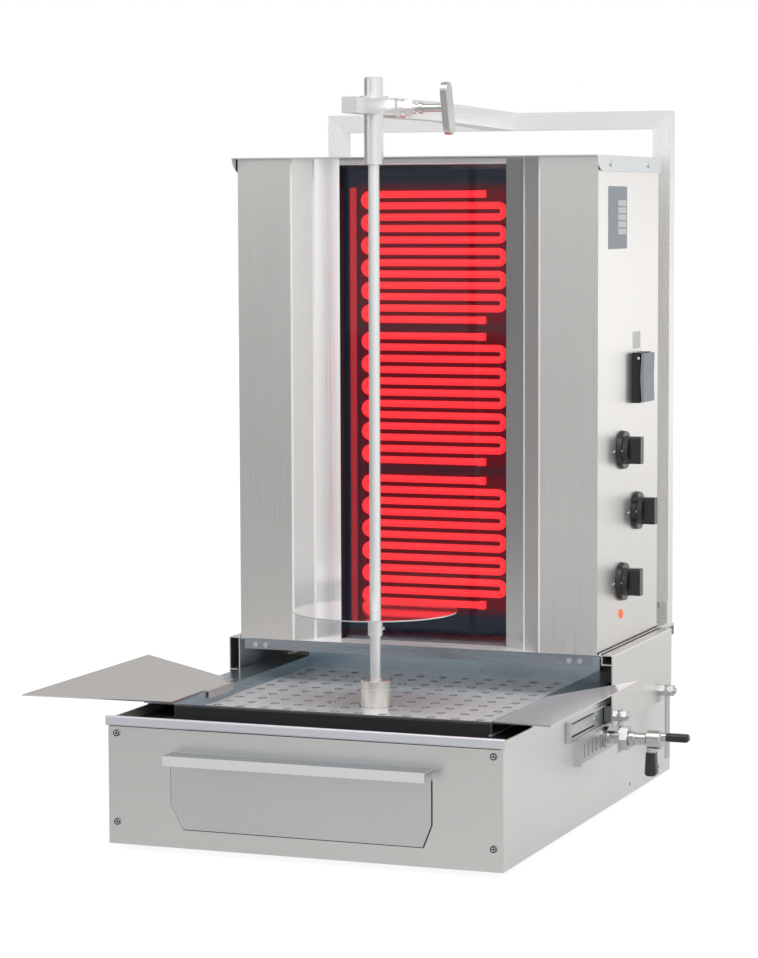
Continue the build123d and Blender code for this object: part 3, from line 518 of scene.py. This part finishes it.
def make_stud_tree():
    """Domed heads in rows and columns."""
    tree = new_tree("domed_studs", "GeometryNodeTree", [
        ("Radius", "NodeSocketFloat", 0.003),
        ("Columns", "NodeSocketInt", 2),
        ("Rows", "NodeSocketInt", 2),
        ("First", "NodeSocketVector", (0.0, 0.0, 0.0)),
        ("Column step", "NodeSocketVector", (0.1, 0.0, 0.0)),
        ("Row step", "NodeSocketVector", (0.0, 0.0, 0.1)),
        ("Flatness", "NodeSocketVector", (1.0, 0.4, 1.0)),
        ("Finish", "NodeSocketMaterial", None),
    ], [("Geometry", "NodeSocketGeometry")])
    given = add(tree, "NodeGroupInput").outputs
    columns = add(tree, "GeometryNodeMeshLine", mode="OFFSET")
    rows = add(tree, "GeometryNodeMeshLine", mode="OFFSET")
    grid = add(tree, "GeometryNodeInstanceOnPoints")
    flat_grid = add(tree, "GeometryNodeRealizeInstances")
    head = add(tree, "GeometryNodeMeshUVSphere")
    head.inputs["Segments"].default_value = 16
    head.inputs["Rings"].default_value = 8
    heads = add(tree, "GeometryNodeInstanceOnPoints")
    real = add(tree, "GeometryNodeRealizeInstances")
    paint = add(tree, "GeometryNodeSetMaterial")
    put = add(tree, "NodeGroupOutput")
    link = tree.links.new
    link(given["Columns"], columns.inputs["Count"])
    link(given["First"], columns.inputs["Start Location"])
    link(given["Column step"], columns.inputs["Offset"])
    link(given["Rows"], rows.inputs["Count"])
    link(given["Row step"], rows.inputs["Offset"])
    link(columns.outputs["Mesh"], grid.inputs["Points"])
    link(rows.outputs["Mesh"], grid.inputs["Instance"])
    link(grid.outputs["Instances"], flat_grid.inputs["Geometry"])
    link(given["Radius"], head.inputs["Radius"])
    link(flat_grid.outputs["Geometry"], heads.inputs["Points"])
    link(head.outputs["Mesh"], heads.inputs["Instance"])
    link(given["Flatness"], heads.inputs["Scale"])
    link(heads.outputs["Instances"], real.inputs["Geometry"])
    link(real.outputs["Geometry"], paint.inputs["Geometry"])
    link(given["Finish"], paint.inputs["Material"])
    link(paint.outputs["Geometry"], put.inputs["Geometry"])
    return tree


def grown(name, tree, values, body):
    """Runs a geometry node tree with the given values and keeps the result as a plain mesh."""
    seed = bpy.data.objects.new(name + "_seed", bpy.data.meshes.new(name + "_seed"))
    bpy.context.scene.collection.objects.link(seed)
    run = seed.modifiers.new("grow", "NODES")
    run.node_group = tree
    for item in tree.interface.items_tree:
        if item.item_type == "SOCKET" and item.in_out == "INPUT" and item.name in values:
            run[item.identifier] = values[item.name]
    depsgraph = bpy.context.evaluated_depsgraph_get()
    mesh = bpy.data.meshes.new_from_object(seed.evaluated_get(depsgraph))
    bpy.data.objects.remove(seed)
    mesh.name = name
    piece = bpy.data.objects.new(name, mesh)
    bpy.context.scene.collection.objects.link(piece)
    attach(piece, body)
    return piece


studs = make_stud_tree()


def stud_rows(name, radius, first, columns, rows, column_step, row_step, flatness, material, body):
    return grown(name, studs, {
        "Radius": radius, "Columns": columns, "Rows": rows, "First": first, "Column step": column_step,
        "Row step": row_step, "Flatness": flatness, "Finish": material}, body)


def rings(name, centres, inner, outer, facing, material, body):
    """Flat rings round holes and screw heads, which face up or ahead."""
    vertices, faces = [], []
    steps = 16
    for x, y, z in centres:
        start = len(vertices)
        for step in range(steps):
            turn = 2 * pi * step / steps
            for radius in (inner, outer):
                across, rise = radius * cos(turn), radius * sin(turn)
                if facing == "up":
                    vertices.append((x + across, y + rise, z))
                else:
                    vertices.append((x + across, y, z + rise))
        for step in range(steps):
            here, there = start + 2 * step, start + 2 * ((step + 1) % steps)
            faces.append((here, here + 1, there + 1, there))
    return mesh_piece(name, vertices, faces, material, body)


def line_on_front(name, points, width, y, material, body):
    """A flat line through the given (x, z) points, facing ahead."""
    vertices, faces = [], []
    for (x1, z1), (x2, z2) in zip(points, points[1:]):
        length = ((x2 - x1) ** 2 + (z2 - z1) ** 2) ** 0.5
        out_x, out_z = -(z2 - z1) / length * width / 2, (x2 - x1) / length * width / 2
        start = len(vertices)
        vertices += [(x1 - out_x, y, z1 - out_z), (x2 - out_x, y, z2 - out_z),
                     (x2 + out_x, y, z2 + out_z), (x1 + out_x, y, z1 + out_z)]
        faces.append((start, start + 1, start + 2, start + 3))
    return mesh_piece(name, vertices, faces, material, body)


def make_side_bar():
    """The dim upright element beside the three zones."""
    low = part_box("heater_lower")[0]
    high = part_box("heater_upper")[1]
    left = spit_x - 108 * MM
    bar = ((left, low.y + 1 * MM, low.z + 4 * MM), (left + 8 * MM, high.y - 1 * MM, high.z + 4 * MM))
    blocks("side_element", [bar], side_glow, "carriage", bevel=0.002)


def make_knob_marks():
    """A white line on each knob's rim, and one beside it on the tower."""
    knobs = (("knob_upper", "knob_top"), ("knob_middle", "knob_mid"), ("knob_lower", "knob_low"))
    for name, body in knobs:
        low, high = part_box(name)
        y = (low.y + high.y) / 2
        z = (low.z + high.z) / 2
        rim = (high.y - low.y) / 2
        top = tower_face + 6.4 * MM
        line = ((top - 0.2 * MM, y - rim + 3 * MM, z - 0.8 * MM),
                (top + 0.5 * MM, y - 8 * MM, z + 0.8 * MM))
        blocks(name + "_line", [line], mark_white, body)
        blocks(name + "_panel_mark", [((tower_face - 0.1 * MM, y - rim - 12 * MM, z - 0.9 * MM),
                                       (tower_face + 0.3 * MM, y - rim - 3 * MM, z + 0.9 * MM))],
               mark_white, "carriage")


def make_plates():
    """Bare plates where the tower carries its labels."""
    face = tower_face
    corner_y = front_y + 430 * MM
    corner_z = 716 * MM
    plate = ((face - 0.1 * MM, corner_y, corner_z),
             (face + 0.8 * MM, corner_y + 80 * MM, corner_z + 79 * MM))
    blocks("rating_plate", [plate], plate_grey, "carriage", bevel=0.0003)
    cells = []
    for row in range(5):
        z = corner_z + 18 * MM + row * 9 * MM
        cells.append(((face + 0.7 * MM, corner_y + 40 * MM, z),
                      (face + 1.0 * MM, corner_y + 76 * MM, z + 7.5 * MM)))
    blocks("rating_plate_cells", cells, plate_pale, "carriage")
    label_y = front_y + 540 * MM
    label = ((face - 0.1 * MM, label_y, 586 * MM), (face + 0.4 * MM, label_y + 34 * MM, 608 * MM))
    blocks("switch_label", [label], plate_pale, "carriage")


def make_switch_trim():
    low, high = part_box("switch_box")
    blocks("switch_front_edge", [((low.x, low.y - 0.6 * MM, low.z), (high.x - 2 * MM, low.y, high.z))],
           switch_black, "carriage")
    stud_rows("switch_screw", 1.8 * MM, (low.x + 9 * MM, low.y - 0.6 * MM, high.z - 7 * MM), 1, 1,
              (0, 0, 0), (0, 0, 0), (1.0, 0.4, 1.0), mark_white, "carriage")


def make_deck_seams():
    """Sealing strips where the tower stands on the carriage: dark, bright and dark again."""
    low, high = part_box("tower_side_right")
    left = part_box("tower_side_left")[0]
    z = deck_high.z
    length = high.y - low.y
    for side, face in ((1, high.x), (-1, left.x)):
        def strip(name, near, far, rise, material):
            edges = sorted((face + side * near * MM, face + side * far * MM))
            bar = ((edges[0], low.y, z - 0.1 * MM), (edges[1], high.y, z + rise * MM))
            blocks(name, [bar], material, "carriage")
        tag = "right" if side > 0 else "left"
        strip("seam_inner_" + tag, 0.2, 2.2, 2.6, black_seal_and_painted_shade)
        strip("seam_bright_" + tag, 2.2, 4.0, 1.9, bright_trim)
        teeth = 44
        stud_rows("seam_teeth_" + tag, 1.1 * MM, (face + side * 5.0 * MM, low.y + 4 * MM, z), teeth, 1,
                  (0, (length - 8 * MM) / (teeth - 1), 0), (0, 0, 0), (0.8, 2.0, 1.2),
                  black_seal_and_painted_shade, "carriage")


def make_base_painted_shade():
    """Painted shadow lines round the drawer and under the base's front lip, and painted shade as rings
    round the front screws and as crosses in their recesses.
    """
    face = base_low.y + lip_reach * MM
    # Painted shadow line round the drawer front.
    line_on_front("drawer_shadow_line", [(spit_x + x * MM, z * MM) for x, z in drawer_outline], 1.3 * MM,
                  face - 0.15 * MM, black_seal_and_painted_shade, "base")
    # Painted shadow strip under the base's front lip.
    under = base_high.z - (lip_rise + 0.9) * MM
    lip_shadow = ((base_low.x + 5 * MM, face - 0.5 * MM, under),
             (base_high.x - 5 * MM, face + 0.2 * MM, under + 0.9 * MM))
    blocks("lip_shadow_line", [lip_shadow], black_seal_and_painted_shade, "base")
    low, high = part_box("front_screws")
    radius = screw_head * MM
    middles = [(x, low.y - 0.1 * MM, z) for x in (low.x + radius, high.x - radius)
               for z in (low.z + radius, high.z - radius)]
    # Painted shade rings round the screw heads and painted shade crosses for their recesses.
    rings("front_screw_shade_rings", middles, radius - 0.9 * MM, radius + 0.5 * MM, "ahead", black_seal_and_painted_shade,
          "base")
    crosses = []
    for x, y, z in middles:
        for half_x, half_z in ((2.2 * MM, 0.5 * MM), (0.5 * MM, 2.2 * MM)):
            crosses.append(((x - half_x, y - 0.1 * MM, z - half_z),
                            (x + half_x, y + 0.05 * MM, z + half_z)))
    blocks("front_screw_shade_crosses", crosses, black_seal_and_painted_shade, "base")


def make_pan_rings():
    """Each hole of the drip pan gets a dark ring round it: painted shade at the hole's edge."""
    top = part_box("pan_floor")[1].z + 0.15 * MM
    middles = []
    for column in range(hole_columns):
        for row in range(hole_rows):
            x = spit_x + (column - (hole_columns - 1) / 2) * hole_pitch_x * MM
            y = front_y + (hole_grid_middle + (row - (hole_rows - 1) / 2) * hole_pitch_y) * MM
            if (x - spit_x) ** 2 + (y - spit_y) ** 2 > (socket_clearance * MM) ** 2:
                middles.append((x, y, top))
    rings("pan_hole_shade_rings", middles, hole_radius * MM, (hole_radius + 1.6) * MM, "up", black_seal_and_painted_shade,
          "base")


def make_glass_seals():
    """Black seals on the recess walls beside the glass."""
    low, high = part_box("glass_panel")
    for tag, x in (("left", spit_x - 113.8 * MM), ("right", spit_x + 113.0 * MM)):
        seal = ((x, low.y - 12 * MM, low.z + 1 * MM), (x + 0.8 * MM, low.y - 0.3 * MM, high.z - 5 * MM))
        blocks("glass_seal_" + tag, [seal], black_seal_and_painted_shade, "carriage")


def make_rivets():
    """Dark ball races and rivets on the telescopic slides, and rivets on the rear cover."""
    low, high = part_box("slides_fixed")
    races = []
    for z in (low.z + 4.0 * MM, high.z - 6.5 * MM):
        for left in (high.x - 4.8 * MM, low.x + 4.2 * MM):
            races.append(((left, low.y + 1 * MM, z), (left + 0.6 * MM, low.y + 112 * MM, z + 2.5 * MM)))
    blocks("slide_races", races, black_seal_and_painted_shade, "base")
    for tag, x in (("right", high.x - 4.6 * MM), ("left", low.x + 4.6 * MM)):
        stud_rows("slide_rivets_" + tag, 3 * MM, (x, low.y + 22 * MM, low.z + 13.2 * MM), 4, 1,
                  (0, 30 * MM, 0), (0, 0, 0), (0.4, 1.0, 1.0), plated, "base")
    low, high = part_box("tower_rear")
    step_x = (high.x - low.x - 16 * MM)
    step_z = (high.z - low.z - 40 * MM) / 4
    stud_rows("rear_cover_rivets", 3 * MM, (low.x + 8 * MM, high.y, low.z + 20 * MM), 2, 5,
              (step_x, 0, 0), (0, 0, step_z), (1.0, 0.4, 1.0), plated, "carriage")


make_side_bar()
make_knob_marks()
make_plates()
make_switch_trim()
make_deck_seams()
make_base_painted_shade()
make_pan_rings()
make_glass_seals()
make_rivets()


# Studio

def make_floor():
    size = 14.0
    mesh = bpy.data.meshes.new("floor")
    corners = [(-size, -size, 0), (size, -size, 0), (size, size, 0), (-size, size, 0)]
    mesh.from_pydata(corners, [], [(0, 1, 2, 3)])
    floor = bpy.data.objects.new("floor", mesh)
    bpy.context.scene.collection.objects.link(floor)
    material = bpy.data.materials.new("floor_white")
    material.use_nodes = True
    tree = material.node_tree
    shader = tree.nodes["Principled BSDF"]
    shader.inputs["Base Color"].default_value = (0.26, 0.26, 0.26, 1.0)
    shader.inputs["Roughness"].default_value = 0.9
    shader.inputs["Specular IOR Level"].default_value = 0.0
    shader.inputs["Emission Color"].default_value = (1.0, 1.0, 1.0, 1.0)
    rays = add(tree, "ShaderNodeLightPath")
    place = add(tree, "ShaderNodeTexCoord")
    towards = add(tree, "ShaderNodeVectorMath", operation="DOT_PRODUCT")
    towards.inputs[1].default_value = (0.84, 0.34, 0.0)
    tree.links.new(place.outputs["Object"], towards.inputs[0])
    reflected = add(tree, "ShaderNodeMapRange")
    reflected.inputs["From Min"].default_value = -3.0
    reflected.inputs["From Max"].default_value = 3.0
    reflected.inputs["To Min"].default_value = 0.08
    reflected.inputs["To Max"].default_value = 0.72
    tree.links.new(towards.outputs["Value"], reflected.inputs["Value"])
    glossy = add(tree, "ShaderNodeMath", operation="MULTIPLY")
    tree.links.new(reflected.outputs["Result"], glossy.inputs[0])
    tree.links.new(rays.outputs["Is Glossy Ray"], glossy.inputs[1])
    level = add(tree, "ShaderNodeMath", operation="MULTIPLY_ADD")
    tree.links.new(rays.outputs["Is Camera Ray"], level.inputs[0])
    level.inputs[1].default_value = 0.88
    tree.links.new(glossy.outputs[0], level.inputs[2])
    tree.links.new(level.outputs[0], shader.inputs["Emission Strength"])
    mesh.materials.append(material)


def make_world():
    world = bpy.data.worlds.new("studio")
    bpy.context.scene.world = world
    world.use_nodes = True
    tree = world.node_tree
    tree.nodes.clear()
    place = add(tree, "ShaderNodeTexCoord")
    towards = add(tree, "ShaderNodeVectorMath", operation="DOT_PRODUCT")
    towards.inputs[1].default_value = (0.84, 0.34, 0.30)
    tree.links.new(place.outputs["Generated"], towards.inputs[0])
    level = add(tree, "ShaderNodeMapRange")
    level.inputs["From Min"].default_value = -0.95
    level.inputs["From Max"].default_value = 0.95
    level.inputs["To Min"].default_value = 0.20
    level.inputs["To Max"].default_value = 0.86
    tree.links.new(towards.outputs["Value"], level.inputs["Value"])
    # The side that the grill faces is lighter again.
    facing = add(tree, "ShaderNodeVectorMath", operation="DOT_PRODUCT")
    facing.inputs[1].default_value = (0.0, -1.0, 0.1)
    tree.links.new(place.outputs["Generated"], facing.inputs[0])
    ahead = add(tree, "ShaderNodeMapRange")
    ahead.inputs["From Min"].default_value = 0.2
    ahead.inputs["From Max"].default_value = 1.0
    ahead.inputs["To Min"].default_value = 0.0
    ahead.inputs["To Max"].default_value = 0.46
    tree.links.new(facing.outputs["Value"], ahead.inputs["Value"])
    total = add(tree, "ShaderNodeMath", operation="ADD")
    tree.links.new(level.outputs["Result"], total.inputs[0])
    tree.links.new(ahead.outputs["Result"], total.inputs[1])
    rays = add(tree, "ShaderNodeLightPath")
    around = add(tree, "ShaderNodeBackground")
    tree.links.new(total.outputs[0], around.inputs["Strength"])
    around.inputs["Color"].default_value = (1.0, 1.0, 1.0, 1.0)
    behind = add(tree, "ShaderNodeBackground")
    behind.inputs["Color"].default_value = (1.0, 1.0, 1.0, 1.0)
    behind.inputs["Strength"].default_value = 1.0
    mix = add(tree, "ShaderNodeMixShader")
    tree.links.new(rays.outputs["Is Camera Ray"], mix.inputs["Fac"])
    tree.links.new(around.outputs[0], mix.inputs[1])
    tree.links.new(behind.outputs[0], mix.inputs[2])
    out = add(tree, "ShaderNodeOutputWorld")
    tree.links.new(mix.outputs[0], out.inputs["Surface"])


def area_light(name, place, aim, size, power, colour=(1.0, 1.0, 1.0)):
    data = bpy.data.lights.new(name, "AREA")
    data.shape = "RECTANGLE"
    data.size, data.size_y = size
    data.energy = power
    data.color = colour
    lamp = bpy.data.objects.new(name, data)
    bpy.context.scene.collection.objects.link(lamp)
    lamp.location = place
    lamp.rotation_euler = (Vector(aim) - Vector(place)).to_track_quat("-Z", "Y").to_euler()


def make_camera():
    """The photograph's own view. Yaw is to the left of straight ahead, pitch is below level."""
    yaw, pitch, roll = 0.367, 0.0871, -0.0034
    place = Vector((1.3516, -3.6297, 0.7662))
    ahead = Vector((-sin(yaw) * cos(pitch), cos(yaw) * cos(pitch), -sin(pitch)))
    right = Vector((cos(yaw), sin(yaw), 0.0))
    up = right.cross(ahead)
    across = right * cos(roll) + up * sin(roll)
    upward = up * cos(roll) - right * sin(roll)
    data = bpy.data.cameras.new("camera")
    data.sensor_fit = "VERTICAL"
    data.sensor_height = 36.0
    data.lens = 115.82
    camera = bpy.data.objects.new("camera", data)
    bpy.context.scene.collection.objects.link(camera)
    camera.matrix_world = Matrix((
        (across.x, upward.x, -ahead.x, place.x),
        (across.y, upward.y, -ahead.y, place.y),
        (across.z, upward.z, -ahead.z, place.z),
        (0.0, 0.0, 0.0, 1.0)))
    bpy.context.scene.camera = camera


make_floor()
make_world()
area_light("key", (1.6, -2.6, 2.6), (0.0, 0.0, 0.4), (1.6, 1.6), 14.0)
area_light("fill", (-2.6, -2.2, 1.6), (0.0, 0.0, 0.4), (1.6, 1.6), 6.0)
area_light("side", (2.0, 3.4, 0.6), (0.24, 0.15, 0.45), (0.4, 0.6), 3.0)
area_light("top", (0.1, -0.9, 2.3), (0.0, -0.15, 0.2), (2.0, 1.2), 16.0)
make_camera()

bpy.context.scene.view_settings.view_transform = "Standard"
